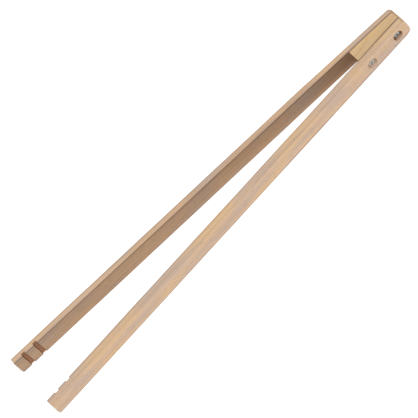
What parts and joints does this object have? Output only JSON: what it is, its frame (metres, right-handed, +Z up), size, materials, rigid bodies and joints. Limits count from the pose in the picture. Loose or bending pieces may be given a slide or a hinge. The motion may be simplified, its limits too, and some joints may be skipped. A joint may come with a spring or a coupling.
{
  "type": "wooden spring tongs",
  "caption": "Long wooden spring tongs with flat arms splayed by a screwed wedge block, and grip notches across the inner faces of the tips.",
  "frame": {"origin": "middle of the footprint, on the plane that the arms' lower edges rest on", "axes": "+X towards the hinge end, where the wedge block is; +Y towards the far arm, the one without screw heads; +Z up across the width of the arms"},
  "size_m": [0.5, 0.0748, 0.02],
  "materials": {
    "arm_wood": "sanded beech, bare or lightly oiled, with fine grain along the arm",
    "wedge_wood": "sanded paler and yellower wood, with grain along the block",
    "screw_steel": "dull zinc-plated steel"
  },
  "bodies": {
    "hinge_end": {"near_arm_root": "arm_wood", "far_arm_root": "arm_wood", "wedge_block": "wedge_wood", "end_screw": "screw_steel", "mouth_screw": "screw_steel"},
    "near_blade": {"near_arm_blade": "arm_wood"},
    "far_blade": {"far_arm_blade": "arm_wood"}
  },
  "joints": [
    {"name": "near_arm_squeeze", "type": "hinge", "parent": "hinge_end", "child": "near_blade", "pos_m": [0.12589, -0.01493, 0.01], "axis": [0, 0, -1], "range_deg": [-1.5, 4.53], "stiffness_Nm_per_rad": 43},
    {"name": "far_arm_squeeze", "type": "hinge", "parent": "hinge_end", "child": "far_blade", "pos_m": [0.12589, 0.01493, 0.01], "axis": [0, 0, 1], "range_deg": [-1.5, 4.53], "stiffness_Nm_per_rad": 43}
  ]
}
